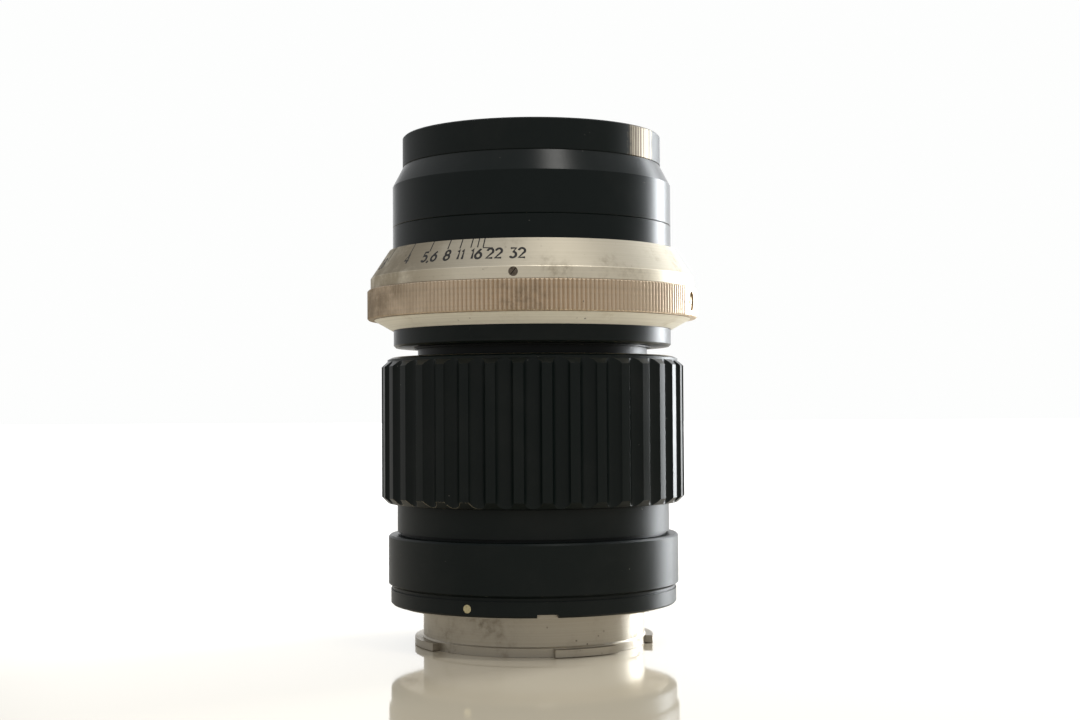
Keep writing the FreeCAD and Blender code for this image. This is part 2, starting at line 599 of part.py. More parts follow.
def make_name_ring():
    turned("name_ring", [
        ("name_ring_lip", "name_ring_base + ring_edge"), ("front_cell_neck", "name_ring_base + ring_edge"),
        ("front_cell_neck", "name_ring_base"), ("name_ring_radius", "name_ring_base"),
        ("name_ring_radius", "name_ring_top"), ("name_ring_edge", "name_ring_top"),
        ("name_ring_lip", "name_ring_lip_top")])


def make_front_cell():
    turned("front_cell", [
        ("inner_lip", "front_cell_base"), ("front_cell_radius", "front_cell_base"),
        ("front_cell_radius", "core_top"), ("front_cell_flange", "core_top"),
        ("front_cell_flange", "front_cell_flange_top"), ("front_cell_neck", "front_cell_flange_top"),
        ("front_cell_neck", "front_cell_top"), ("front_seat", "front_cell_top"),
        ("front_seat", "front_seat_base"), ("front_lip", "front_seat_base"),
        ("front_lip", "inner_seat_top"), ("inner_seat", "inner_seat_top"),
        ("inner_seat", "inner_seat_base"), ("inner_lip", "inner_seat_base")])


def make_front_spacer():
    turned("front_spacer_ring", ring_section("front_spacer_bore", "front_lip - fit_gap", "inner_seat_top",
                                             "inner_ring_top"))


def make_rear_cell():
    turned("rear_cell", [
        ("rear_seat", "rear_cell_base"), ("rear_cell_radius", "rear_cell_base"),
        ("rear_cell_radius", "rear_flange_base"), ("rear_flange_radius", "rear_flange_base"),
        ("rear_flange_radius", "rear_flange_top"), ("rear_cell_radius", "rear_flange_top"),
        ("rear_cell_radius", "rear_cell_top"), ("rear_lip", "rear_cell_top"),
        ("rear_lip", "rear_lip_base"), ("rear_inner_seat", "rear_lip_base"),
        ("rear_inner_seat", "rear_inner_base"), ("rear_seat", "rear_inner_base")])


def make_rear_rings():
    turned("rear_spacer_ring", ring_section("rear_spacer_bore", "rear_seat - fit_gap",
                                            "rear_spacer_base", "rear_inner_base"))
    turned("rear_retaining_ring", [
        ("rear_ring_bore", "rear_ring_base"), ("rear_ring_bore + rear_ring_top - rear_ring_base",
                                               "rear_ring_base"),
        ("rear_seat - fit_gap", "rear_ring_base"), ("rear_seat - fit_gap", "rear_ring_top"),
        ("rear_ring_bore", "rear_ring_top")])


# Each glass: node, radius word, rear vertex, rear curve, front vertex, front curve. A curve is the
# radius of its sphere: positive bulges forwards (+Z), negative bulges backwards, 0 is flat.
GLASSES = (
    ("front_element", "front_glass_radius", 88.6, 150.0, 94.0, 52.0),
    ("front_inner_crown", "inner_glass_radius", 81.03, 0.0, 87.5, 60.0),
    ("front_inner_flint", "inner_glass_radius", 79.8, 36.0, 81.0, 0.0),
    ("rear_inner_flint", "rear_inner_radius", 59.2, 0.0, 60.4, -36.0),
    ("rear_inner_crown", "rear_inner_radius", 55.97, -60.0, 59.17, 0.0),
    ("rear_element", "rear_glass_radius", 51.5, -45.0, 55.4, 200.0),
)


def bounded_by(shape, vertex, curve, side):
    """Keep what lies inside a spherical face: side is +1 for the front face and -1 for the rear."""
    if curve == 0.0:
        return shape
    centre = FreeCAD.Vector(0, 0, vertex - curve)
    ball = Part.makeSphere(abs(curve), centre, FreeCAD.Vector(0, 0, 1), -90, 90, 360)
    if curve * side > 0.0:
        return shape.common(ball)
    return shape.cut(ball)


def make_glasses():
    for name, word, rear, rear_curve, front, front_curve in GLASSES:
        radius = size(word)
        front_rim = front if front_curve >= 0.0 else front + sagitta(front_curve, radius)
        rear_rim = rear if rear_curve <= 0.0 else rear - sagitta(rear_curve, radius)
        disc = Part.makeCylinder(radius, front_rim - rear_rim, FreeCAD.Vector(0, 0, rear_rim))
        disc = bounded_by(disc, front, front_curve, 1.0)
        disc = bounded_by(disc, rear, rear_curve, -1.0)
        solid_node(name, disc.Solids[0])


def sagitta(curve, radius):
    """How far a spherical face of this curve falls away from its vertex at this radius."""
    return abs(curve) - math.sqrt(curve * curve - radius * radius)


# ---------------------------------------------------------------- aperture ring

def make_scale_ring():
    body = turned("scale_ring", [
        ("ring_run_bore", "sleeve_base"), ("sleeve_radius", "sleeve_base"),
        ("sleeve_radius", "band_base"), ("band_radius", "band_base"), ("band_radius", "band_top"),
        ("scale_radius", "scale_top"), ("scale_recess", "scale_top"),
        ("scale_recess", "scale_land_top"), ("ring_run_bore", "scale_land_top")])
    spindle(body, "Groove", DRIVE_SCREW_BEARING, [
        ("core_radius", "drive_screw_level"), ("knurl_radius", "drive_screw_level"),
        ("knurl_radius", "drive_screw_level + drive_screw_head + fit_gap"),
        ("drive_screw_shoulder", "drive_screw_level + drive_screw_head + fit_gap"),
        ("drive_screw_shoulder", "drive_screw_level + drive_screw_shank + fit_gap"),
        ("core_radius", "drive_screw_level + drive_screw_shank + fit_gap")],
        ("core_radius", "drive_screw_level"), ("knurl_radius", "drive_screw_level"))


def make_knurled_ring():
    """A straight knurl of V grooves that leaves a plain patch round its set screw."""
    radius = size("knurl_radius")
    root = radius - size("knurl_depth")
    pitch = size("knurl_pitch")
    base = size("knurl_base")
    top = size("knurl_top")
    edge = size("knurl_edge")
    points = []
    groove_count = int(round((360.0 - (PLAIN_BEARINGS[1] - PLAIN_BEARINGS[0])) / pitch))
    start = azimuth(PLAIN_BEARINGS[1])
    for index in range(groove_count):
        angle = start + index * pitch
        points.append(polar(radius, angle, base))
        points.append(polar(radius, angle + KNURL_LAND * pitch, base))
        points.append(polar(root, angle + 0.5 * (1.0 + KNURL_LAND) * pitch, base))
    plain_steps = int(round((PLAIN_BEARINGS[1] - PLAIN_BEARINGS[0]) / pitch))
    for index in range(plain_steps):
        points.append(polar(radius, azimuth(PLAIN_BEARINGS[0]) + index * pitch, base))
    outline = Part.Face(Part.makePolygon(points + points[:1]))
    blank = outline.extrude(FreeCAD.Vector(0, 0, top - base))
    blank = blank.cut(Part.makeCylinder(size("knurl_bore"), top - base, FreeCAD.Vector(0, 0, base)))
    limit = [FreeCAD.Vector(1, 0, base), FreeCAD.Vector(radius - edge, 0, base),
             FreeCAD.Vector(radius, 0, base + edge), FreeCAD.Vector(radius, 0, top - edge),
             FreeCAD.Vector(radius - edge, 0, top), FreeCAD.Vector(1, 0, top)]
    envelope = Part.Face(Part.makePolygon(limit + limit[:1])).revolve(
        FreeCAD.Vector(), FreeCAD.Vector(0, 0, 1), 360)
    ring = blank.common(envelope)
    hole = radial_cylinder(size("set_screw_radius") + size("fit_gap"), size("sleeve_radius"), radius,
                           SET_SCREW_BEARING, size("set_screw_level"))
    solid_node("knurled_ring", ring.cut(hole).Solids[0])


def slotted_screw(shape, bearing, level, face, slot_form):
    """Cut a driver slot across the outer end of a radial screw."""
    half_width, tilt = slot_form
    depth = size("radial_slot_depth")
    half_length = size("set_screw_radius") * 2.0
    slot = Part.makeBox(depth * 2.0, half_length * 2.0, half_width * 2.0,
                        FreeCAD.Vector(face - depth, -half_length, -half_width))
    slot.rotate(FreeCAD.Vector(), FreeCAD.Vector(1, 0, 0), tilt)
    slot.rotate(FreeCAD.Vector(), FreeCAD.Vector(0, 0, 1), azimuth(bearing))
    slot.translate(FreeCAD.Vector(0, 0, level))
    return shape.cut(slot)


def radial_cylinder(radius, inner, outer, bearing, level):
    """A cylinder that points away from the optical axis."""
    place = polar(inner, azimuth(bearing), level)
    return Part.makeCylinder(radius, outer - inner, place, polar(1.0, azimuth(bearing)))


def make_ring_screws():
    level = size("set_screw_level")
    face = size("set_screw_face")
    screw = radial_cylinder(size("set_screw_radius"), size("set_screw_tip"), face, SET_SCREW_BEARING, level)
    screw = slotted_screw(screw, SET_SCREW_BEARING, level, face, SET_SCREW_SLOT)
    solid_node("knurl_set_screw", screw)
    level = size("drive_screw_level")
    face = size("drive_screw_face")
    shoulder = size("drive_screw_shoulder") + size("fit_gap")
    head = radial_cylinder(size("drive_screw_head"), shoulder, face, DRIVE_SCREW_BEARING, level)
    shank = radial_cylinder(size("drive_screw_shank"), size("drive_screw_tip"), 0.5 * (shoulder + face),
                            DRIVE_SCREW_BEARING, level)
    screw = slotted_screw(head.fuse(shank), DRIVE_SCREW_BEARING, level, face, DRIVE_SCREW_SLOT)
    solid_node("drive_pin_screw", screw)


# ---------------------------------------------------------------- iris

def drive_pin_at(closing):
    """Radius and angle, from its pivot, of a blade's drive pin once the blade has closed this far."""
    at_pivot = math.radians(BLADE_CLOSED_LEAD + BLADE_SWING - closing)
    arm = size("drive_arm")
    place = size("pivot_place")
    radius = math.sqrt(place ** 2 + arm ** 2 - 2.0 * place * arm * math.cos(at_pivot))
    angle = 180.0 - math.degrees(math.asin(arm * math.sin(at_pivot) / radius))
    if radius ** 2 + place ** 2 > arm ** 2:
        angle = 180.0 - angle
    return radius, angle


def blade_outline():
    """A crescent blade, wide open, with its pivot on +X and its tail clockwise from it."""
    inner = size("blade_inner")
    outer = size("blade_outer")
    tail_inner = size("blade_tail_inner")
    pivot = size("pivot_place")
    end = size("blade_end")
    heel = FreeCAD.Vector(pivot, 0, 0) + polar(end, 2.0 * BLADE_END_MIDDLE)
    toe = polar(outer, 0.0)
    edges = [
        Part.Arc(toe, polar(outer, -0.5 * BLADE_TAIL), polar(outer, -BLADE_TAIL)).toShape(),
        Part.LineSegment(polar(outer, -BLADE_TAIL), polar(tail_inner, -BLADE_TAIL)).toShape(),
        Part.LineSegment(polar(tail_inner, -BLADE_TAIL), polar(inner, -BLADE_EDGE_END)).toShape(),
        Part.Arc(polar(inner, -BLADE_EDGE_END), polar(inner, -0.5 * (BLADE_EDGE_END + BLADE_HEEL)),
                 polar(inner, -BLADE_HEEL)).toShape(),
        Part.LineSegment(polar(inner, -BLADE_HEEL), heel).toShape(),
        Part.Arc(heel, FreeCAD.Vector(pivot, 0, 0) + polar(end, BLADE_END_MIDDLE), toe).toShape(),
    ]
    return Part.Face(Part.Wire(edges))


def make_blade():
    """One blade: a thin plate that climbs from its pivot pin to its drive pin."""
    level = size("blade_level")
    thickness = size("blade_thickness")
    pivot = FreeCAD.Vector(size("pivot_place"), 0, 0)
    pin_radius, pin_angle = drive_pin_at(0.0)
    drive = polar(pin_radius, -pin_angle)
    plate = blade_outline().extrude(FreeCAD.Vector(0, 0, thickness))
    uphill = polar(1.0, math.degrees(math.atan2(drive.y, drive.x - pivot.x)) - BLADE_TILT_TURN)
    hinge = FreeCAD.Vector(0, 0, 1).cross(uphill)
    plate.rotate(pivot, hinge, -math.degrees(math.atan(size("blade_rise"))))
    plate.translate(FreeCAD.Vector(0, 0, level))
    climb = size("blade_rise") * (drive - pivot).dot(uphill)
    pin = size("pivot_pin")
    foot = size("iris_seat") + size("slot_gap")
    pivot_pin = Part.makeCylinder(pin, level + thickness - foot, FreeCAD.Vector(pivot.x, pivot.y, foot))
    drive_foot = level + climb
    drive_pin = Part.makeCylinder(pin, size("drive_pin_top") - drive_foot,
                                  FreeCAD.Vector(drive.x, drive.y, drive_foot))
    return plate.fuse([pivot_pin, drive_pin])


def blade_azimuth(index):
    """Angle from +X of a blade's pivot."""
    return azimuth(IRIS_PHASE) + index * 360.0 / BLADE_COUNT


def make_blades():
    blade = make_blade()
    for index in range(BLADE_COUNT):
        solid_node("iris_blade_%d" % (index + 1), blade.Solids[0], blade_azimuth(index))


def make_drive_ring():
    """The ring above the blades: its cam slots follow the drive pins at a steady ratio."""
    base = size("drive_ring_base")
    top = size("drive_ring_top")
    ring = ring_shape(size("iris_bore"), size("drive_ring_radius"), base, top)
    path = []
    for step in range(CAM_STEPS + 1):
        closed = step / CAM_STEPS
        radius, angle = drive_pin_at(closed * BLADE_SWING)
        path.append(polar(radius, -angle + closed * size("aperture_turn")))
    half = size("pivot_hole")
    slot = cam_slot(path, half, base, top)
    slots = []
    for index in range(BLADE_COUNT):
        copy = slot.copy()
        copy.rotate(FreeCAD.Vector(), FreeCAD.Vector(0, 0, 1), blade_azimuth(index))
        slots.append(copy)
    ring = ring.cut(slots)
    hole = radial_cylinder(size("drive_screw_shank") + size("fit_gap"),
                           size("drive_screw_tip") - size("fit_gap"), size("core_radius"),
                           DRIVE_SCREW_BEARING, size("drive_screw_level"))
    solid_node("iris_drive_ring", ring.cut(hole).Solids[0])


def cam_slot(path, half, base, top):
    """A slot of this half width along a smooth path."""
    sides = []
    for side in (1.0, -1.0):
        points = []
        for index, point in enumerate(path):
            before = path[max(index - 1, 0)]
            after = path[min(index + 1, len(path) - 1)]
            along = (after - before).normalize()
            points.append(point + FreeCAD.Vector(-along.y, along.x, 0) * half * side)
        sides.append(points)
    left, right = sides
    first = (path[0] - path[1]).normalize() * half
    last = (path[-1] - path[-2]).normalize() * half
    edges = []
    for points in (left, right[::-1]):
        curve = Part.BSplineCurve()
        curve.interpolate(points)
        edges.append(curve.toShape())
    end = Part.Arc(left[-1], path[-1] + last, right[-1]).toShape()
    start = Part.Arc(right[0], path[0] + first, left[0]).toShape()
    wire = Part.Wire([edges[0], end, edges[1], start])
    face = Part.Face(wire)
    face.translate(FreeCAD.Vector(0, 0, base - 0.5))
    return face.extrude(FreeCAD.Vector(0, 0, top - base + 1.0))


def make_iris_plates():
    body = turned("iris_base_plate", ring_section("iris_bore", "iris_plate_radius", "iris_seat",
                                                  "iris_plate_top"))
    sketch = level_sketch(body, "iris_seat - fit_gap")
    draw_circle(sketch, "0", "-pivot_place", "pivot_hole")
    hole = pocket(body, sketch, "iris_plate_top - iris_seat + ring_edge")
    repeat(body, [hole], BLADE_COUNT)
    body.Placement = turned_placement(IRIS_PHASE)
    turned("iris_cover_ring", ring_section("cover_bore", "cover_radius", "cover_base", "cover_top"))


# ---------------------------------------------------------------- helicoid pair

def make_lens_carriage():
    """A tube with a long band at the root radius of its coarse thread, and two key slots."""
    root = size("carriage_root")
    crest = size("carriage_radius")
    base = size("carriage_base")
    top = size("carriage_top")
    bore = size("carriage_bore")
    band = ring_shape(root, crest + size("slot_gap"), size("thread_base"), size("thread_top"))
    tube = ring_shape(bore, crest, base, top).cut(band)
    half = size("key_slot_half")
    floor = size("key_slot_floor")
    slot = Part.makeBox(crest, 2.0 * half, size("key_slot_top") - base + 1.0,
                        FreeCAD.Vector(floor, -half, base - 1.0))
    for bearing in (KEY_BEARING, -KEY_BEARING):
        cut = slot.copy()
        cut.rotate(FreeCAD.Vector(), FreeCAD.Vector(0, 0, 1), azimuth(bearing))
        tube = tube.cut(cut)
    for index in range(4):
        hole_floor = size("adapter_screw_tip") - size("slot_gap")
        place = polar(size("adapter_screw_place"), azimuth(index * 90.0), hole_floor)
        tube = tube.cut(Part.makeCylinder(size("screw_shank") + size("fit_gap"), top, place))
    solid_node("lens_carriage", tube.Solids[0])


def make_focus_nut():
    """The brass nut that the grip turns: its bore runs on the crests of the carriage's thread."""
    root = size("carriage_radius") + size("thread_gap")
    base = size("nut_base")
    body = ring_shape(root, size("nut_flange_radius"), base, size("nut_flange_top"))
    body = body.fuse(ring_shape(root, size("nut_neck_radius"), base, size("nut_shoulder")))
    body = body.fuse(ring_shape(root, size("nut_radius"), base, size("nut_top"))).removeSplitter()
    solid_node("focus_nut", body.Solids[0])


def check_and_export():
    """Stop on any failed object, then write each node's STEP file."""
    doc.recompute()
    for item in doc.Objects:
        if "Invalid" in item.State or "Error" in item.State:
            raise RuntimeError("%s failed: %s" % (item.Name, item.State))
    for node in nodes:
        shape = node.Shape
        if shape.isNull() or not shape.isValid() or not shape.Solids:
            raise RuntimeError("%s has no sound shape" % node.Label)
    os.makedirs("parts", exist_ok=True)
    for node in nodes:
        node.Shape.exportStep("parts/%s.step" % node.Label)
        print("%-22s %2d solids %10.2f mm3" % (node.Label, len(node.Shape.Solids), node.Shape.Volume))


def build():
    fill_sheet()
    for make in (
            make_bayonet_mount, make_mount_screws, make_rear_ring, make_index_dot, make_fixed_barrel,
            make_guide_keys, make_key_screws, make_nut_retainer, make_focus_stop_pin,
            make_mount_baffle, make_focus_grip, make_grip_lock_ring, make_focus_nut,
            make_lens_carriage, make_carriage_baffle, make_adapter_flange, make_adapter_screws,
            make_main_barrel, make_front_barrel_lower, make_front_barrel_upper, make_front_rim,
            make_name_ring, make_front_cell, make_front_spacer, make_rear_cell, make_rear_rings,
            make_glasses, make_scale_ring, make_knurled_ring, make_ring_screws, make_drive_ring,
            make_iris_plates, make_blades):
        make()
    check_and_export()


build()
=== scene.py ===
import math

import bmesh
import bpy
from mathutils import Matrix, Vector


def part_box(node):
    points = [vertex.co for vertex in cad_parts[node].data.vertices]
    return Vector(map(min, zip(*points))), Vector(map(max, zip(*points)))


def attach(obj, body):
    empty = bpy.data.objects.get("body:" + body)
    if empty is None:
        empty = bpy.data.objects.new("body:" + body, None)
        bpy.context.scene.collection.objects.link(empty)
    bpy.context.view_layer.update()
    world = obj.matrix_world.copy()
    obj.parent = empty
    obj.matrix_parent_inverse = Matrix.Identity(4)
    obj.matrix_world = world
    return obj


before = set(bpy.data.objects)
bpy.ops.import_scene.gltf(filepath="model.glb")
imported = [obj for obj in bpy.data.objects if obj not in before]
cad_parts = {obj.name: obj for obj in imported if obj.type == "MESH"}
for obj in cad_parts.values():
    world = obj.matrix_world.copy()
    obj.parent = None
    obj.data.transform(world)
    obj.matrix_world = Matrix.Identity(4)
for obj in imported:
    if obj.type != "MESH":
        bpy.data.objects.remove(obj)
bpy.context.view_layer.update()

# The looks of a darkroom enlarger lens on a helicoid mount. Lengths are in metres unless a name
# says millimetres (MM is one of them). Bearings run from -Y, the camera's side, towards +X.

MM = 0.001

# ---------------------------------------------------------------- sizes taken from the frame

CONE_TAPER = 3.7 * MM
CONE_HEIGHT = 5.6 * MM
_, SCALE_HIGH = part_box("scale_ring")
BAND_RADIUS = SCALE_HIGH[0]
SCALE_TOP = SCALE_HIGH[2]
SCALE_TOP_RADIUS = BAND_RADIUS - CONE_TAPER
CONE_FOOT = SCALE_TOP - CONE_HEIGHT
_, RIM_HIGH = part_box("front_rim")
GRIP_LOW, GRIP_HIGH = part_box("focus_grip")


def direction(bearing):
    """The unit vector that points away from the optical axis at this bearing in degrees."""
    turn = math.radians(bearing - 90.0)
    return Vector((math.cos(turn), math.sin(turn), 0.0))


# ---------------------------------------------------------------- node helpers

class Shader:
    """A node tree with short calls for the nodes that the materials share."""

    def __init__(self, name):
        self.material = bpy.data.materials.new(name)
        self.material.use_nodes = True
        self.tree = self.material.node_tree
        self.tree.nodes.clear()
        self.output = self.add("ShaderNodeOutputMaterial")
        self.surface = self.add("ShaderNodeBsdfPrincipled")
        self.link(self.surface.outputs["BSDF"], self.output.inputs["Surface"])
        self.place = self.add("ShaderNodeTexCoord").outputs["Object"]

    def add(self, kind, **values):
        node = self.tree.nodes.new(kind)
        for key, value in values.items():
            setattr(node, key, value)
        return node

    def link(self, source, target):
        self.tree.links.new(source, target)

    def set(self, name, value):
        """Give a Principled input a number, a colour or a socket."""
        socket = self.surface.inputs[name]
        if isinstance(value, bpy.types.NodeSocket):
            self.link(value, socket)
        else:
            socket.default_value = value

    def feed(self, node, slot, value):
        if isinstance(value, bpy.types.NodeSocket):
            self.link(value, node.inputs[slot])
        else:
            node.inputs[slot].default_value = value

    def math(self, operation, first, second=0.0, clamp=False):
        node = self.add("ShaderNodeMath", operation=operation, use_clamp=clamp)
        self.feed(node, 0, first)
        self.feed(node, 1, second)
        return node.outputs[0]

    def both(self, first, second):
        """The product of two masks: 1 where both are 1."""
        return self.math("MULTIPLY", first, second)

    def within(self, value, first, last, rise, fall):
        """1 between two values, with a soft rise after the first and a soft fall before the last."""
        risen = self.step(value, first, first + rise)
        fallen = self.step(value, last - fall, last)
        return self.both(risen, self.math("SUBTRACT", 1.0, fallen))

    def specks(self, scale, size, zone):
        """Dots round scattered points, kept only where a zone mask lets them be."""
        return self.both(self.math("LESS_THAN", self.cells(scale), size), zone)

    def stretched(self, scale, place=None):
        """Object coordinates multiplied along each axis."""
        node = self.add("ShaderNodeVectorMath", operation="MULTIPLY")
        self.feed(node, 0, place or self.place)
        node.inputs[1].default_value = scale
        return node.outputs[0]

    def noise(self, scale, detail=4.0, rough=0.55, place=None, offset=0.0):
        node = self.add("ShaderNodeTexNoise", noise_dimensions="4D")
        self.feed(node, "Vector", place or self.place)
        node.inputs["W"].default_value = offset
        node.inputs["Scale"].default_value = scale
        node.inputs["Detail"].default_value = detail
        node.inputs["Roughness"].default_value = rough
        return node.outputs["Fac"]

    def cells(self, scale, place=None):
        """Distance to scattered points, for pits and specks."""
        node = self.add("ShaderNodeTexVoronoi")
        self.feed(node, "Vector", place or self.place)
        node.inputs["Scale"].default_value = scale
        return node.outputs["Distance"]

    def step(self, value, low, high):
        """0 below low and 1 above high, smooth between."""
        node = self.add("ShaderNodeMapRange", interpolation_type="SMOOTHSTEP")
        self.feed(node, "Value", value)
        node.inputs["From Min"].default_value = low
        node.inputs["From Max"].default_value = high
        return node.outputs["Result"]

    def mix(self, factor, first, second):
        """A colour between two colours."""
        node = self.add("ShaderNodeMix", data_type="RGBA")
        self.feed(node, 0, factor)
        self.feed(node, 6, first)
        self.feed(node, 7, second)
        return node.outputs[2]

    def blend(self, factor, first, second):
        """A number between two numbers."""
        node = self.add("ShaderNodeMix", data_type="FLOAT")
        self.feed(node, 0, factor)
        self.feed(node, 2, first)
        self.feed(node, 3, second)
        return node.outputs[0]

    def split(self, place=None):
        node = self.add("ShaderNodeSeparateXYZ")
        self.link(place or self.place, node.inputs[0])
        return node.outputs

    def bearing(self):
        """The bearing of a point in degrees, from -Y towards +X."""
        x, y, _ = self.split()
        back = self.math("MULTIPLY", y, -1.0)
        angle = self.math("ARCTAN2", x, back)
        return self.math("MULTIPLY", angle, 180.0 / math.pi)

    def outward(self):
        """The level part of a point's direction from the optical axis, before it is scaled to 1."""
        return self.stretched((1.0, 1.0, 0.0))

    def nearness(self, bearing):
        """1 at a bearing, 0 at a right angle to it and -1 on the far side."""
        unit = self.add("ShaderNodeVectorMath", operation="NORMALIZE")
        self.link(self.outward(), unit.inputs[0])
        dot = self.add("ShaderNodeVectorMath", operation="DOT_PRODUCT")
        self.link(unit.outputs[0], dot.inputs[0])
        dot.inputs[1].default_value = direction(bearing)
        return dot.outputs["Value"]

    def radius(self):
        """Distance from the optical axis."""
        length = self.add("ShaderNodeVectorMath", operation="LENGTH")
        self.link(self.outward(), length.inputs[0])
        return length.outputs["Value"]

    def lathe_lines(self, lines_per_mm, wobble=0.0):
        """Fine rings round the optical axis, as a turning tool leaves them."""
        x, y, z = self.split()
        around = self.add("ShaderNodeCombineXYZ")
        self.feed(around, 0, self.math("MULTIPLY", x, 12.0))
        self.feed(around, 1, self.math("MULTIPLY", y, 12.0))
        self.feed(around, 2, self.math("MULTIPLY", z, lines_per_mm / MM))
        return self.noise(1.0, 3.0, 0.6, around.outputs[0], wobble)

    def edges(self, radius, samples=6):
        """1 on sharp outer edges and 0 on flat ground."""
        bevel = self.add("ShaderNodeBevel", samples=samples)
        bevel.inputs["Radius"].default_value = radius
        geometry = self.add("ShaderNodeNewGeometry")
        dot = self.add("ShaderNodeVectorMath", operation="DOT_PRODUCT")
        self.link(bevel.outputs[0], dot.inputs[0])
        self.link(geometry.outputs["Normal"], dot.inputs[1])
        return self.math("SUBTRACT", 1.0, dot.outputs["Value"], clamp=True)

    def bump(self, heights, round_edge=0.0):
        """Bump from (height socket, depth in metres) pairs, over slightly rounded edges."""
        normal = None
        if round_edge:
            bevel = self.add("ShaderNodeBevel", samples=4)
            bevel.inputs["Radius"].default_value = round_edge
            normal = bevel.outputs[0]
        for height, depth in heights:
            node = self.add("ShaderNodeBump")
            node.inputs["Strength"].default_value = 1.0
            node.inputs["Distance"].default_value = depth
            self.link(height, node.inputs["Height"])
            if normal is not None:
                self.link(normal, node.inputs["Normal"])
            normal = node.outputs[0]
        self.link(normal, self.surface.inputs["Normal"])


def rgb(red, green, blue):
    """A linear colour with full alpha."""
    return (red, green, blue, 1.0)


BLACK = rgb(0.0030, 0.0060, 0.0055)
BLACK_WORN = rgb(0.0070, 0.0096, 0.0090)
BARE_METAL = rgb(0.34, 0.30, 0.22)
BARE_BROWN = rgb(0.075, 0.055, 0.035)
RUST = rgb(0.055, 0.042, 0.028)
DUST = rgb(0.16, 0.155, 0.14)
GRIME = rgb(0.20, 0.17, 0.13)
# A dark tone painted over the top of the scale cone as painted shade.
PAINTED_SHADE_TONE = rgb(0.09, 0.08, 0.06)
SCREW_DIRT = rgb(0.07, 0.055, 0.04)
SCREW_SHINE = rgb(0.62, 0.57, 0.48)


# ---------------------------------------------------------------- materials

def chipped_edges(shader, chips, edge, rub):
    """Where edges are chipped to the metal: chips is (first bearing, last bearing, highest level)."""
    first, last, highest = chips
    inside = shader.within(shader.bearing(), first, last, 4.0, 4.0)
    inside = shader.both(inside, shader.math("LESS_THAN", shader.split()[2], highest))
    chipped = shader.both(shader.step(edge, 0.02, 0.10), shader.step(rub, 0.44, 0.50))
    return shader.both(inside, chipped)


def bare_top(shader, level, rub):
    """Where a top edge over this level is rubbed bright all round."""
    above = shader.math("GREATER_THAN", shader.split()[2], level)
    return shader.both(above, shader.step(rub, 0.30, 0.42))


def bare_patch(shader, patch, rub, seed):
    """A streaky place on the rim's outer wall that is rubbed to the metal, and the metal's colour there.

    patch is (first bearing, last bearing)."""
    around = shader.bearing()
    ragged = shader.math("MULTIPLY", shader.math("SUBTRACT", rub, 0.5), 6.0)
    place = shader.math("ADD", around, ragged)
    inside = shader.within(place, patch[0] - 2.0, patch[1], 5.0, 5.0)
    streak_place = shader.add("ShaderNodeCombineXYZ")
    shader.feed(streak_place, 0, shader.math("MULTIPLY", around, 0.55))
    streaks = shader.noise(1.0, 4.0, 0.75, streak_place.outputs[0], seed + 1.0)
    stripes = shader.noise(2.4, 2.0, 0.6, streak_place.outputs[0], seed + 4.0)
    outer_wall = shader.math("GREATER_THAN", shader.radius(), RIM_HIGH[0] - 0.5 * MM)
    bare = shader.both(shader.both(inside, shader.step(streaks, 0.36, 0.46)), outer_wall)
    return bare, shader.mix(shader.step(stripes, 0.48, 0.60), BARE_BROWN, BARE_METAL)


def black_anodised(name, roughness=0.36, wear=0.5, lines=7.0, seed=0.0, patch=None, chips=None,
                   bare_above=None, line_depth=0.004):
    """Satin black anodising: turning lines, faint haze, dust, and bare metal where edges rub.

    patch, chips and bare_above go to bare_patch, chipped_edges and bare_top. line_depth is in mm."""
    shader = Shader(name)
    haze = shader.noise(90.0, 5.0, 0.6, offset=seed)
    grain = shader.noise(5200.0, 2.0, 0.5, offset=seed)
    ring_lines = shader.lathe_lines(lines, seed)
    edge = shader.edges(0.18 * MM)
    rub = shader.noise(700.0, 4.0, 0.7, offset=seed + 3.0)
    rub_start = 0.72 - 0.3 * wear
    metal = shader.both(shader.step(edge, 0.05, 0.22), shader.step(rub, rub_start, rub_start + 0.14))
    dust_zone = shader.step(shader.noise(260.0, 1.0, offset=seed + 7.0), 0.62, 0.7)
    dust = shader.specks(850.0, 0.085, dust_zone)
    colour = shader.mix(shader.step(haze, 0.42, 0.72), BLACK, BLACK_WORN)
    colour = shader.mix(shader.math("MULTIPLY", dust, 0.6), colour, DUST)
    bare_colour = BARE_METAL
    if chips is not None:
        metal = shader.math("MAXIMUM", metal, chipped_edges(shader, chips, edge, rub))
    if bare_above is not None:
        metal = shader.math("MAXIMUM", metal, bare_top(shader, bare_above, rub))
    if patch is not None:
        bare, bare_colour = bare_patch(shader, patch, rub, seed)
        metal = shader.math("MAXIMUM", metal, bare)
    shader.set("Base Color", shader.mix(metal, colour, bare_colour))
    shader.set("Metallic", metal)
    shader.set("Roughness", shader.blend(haze, roughness - 0.06, roughness + 0.08))
    shader.set("Specular IOR Level", 0.18)
    shader.bump([(ring_lines, line_depth * MM), (grain, 0.0016 * MM)], 0.07 * MM)
    return shader.material


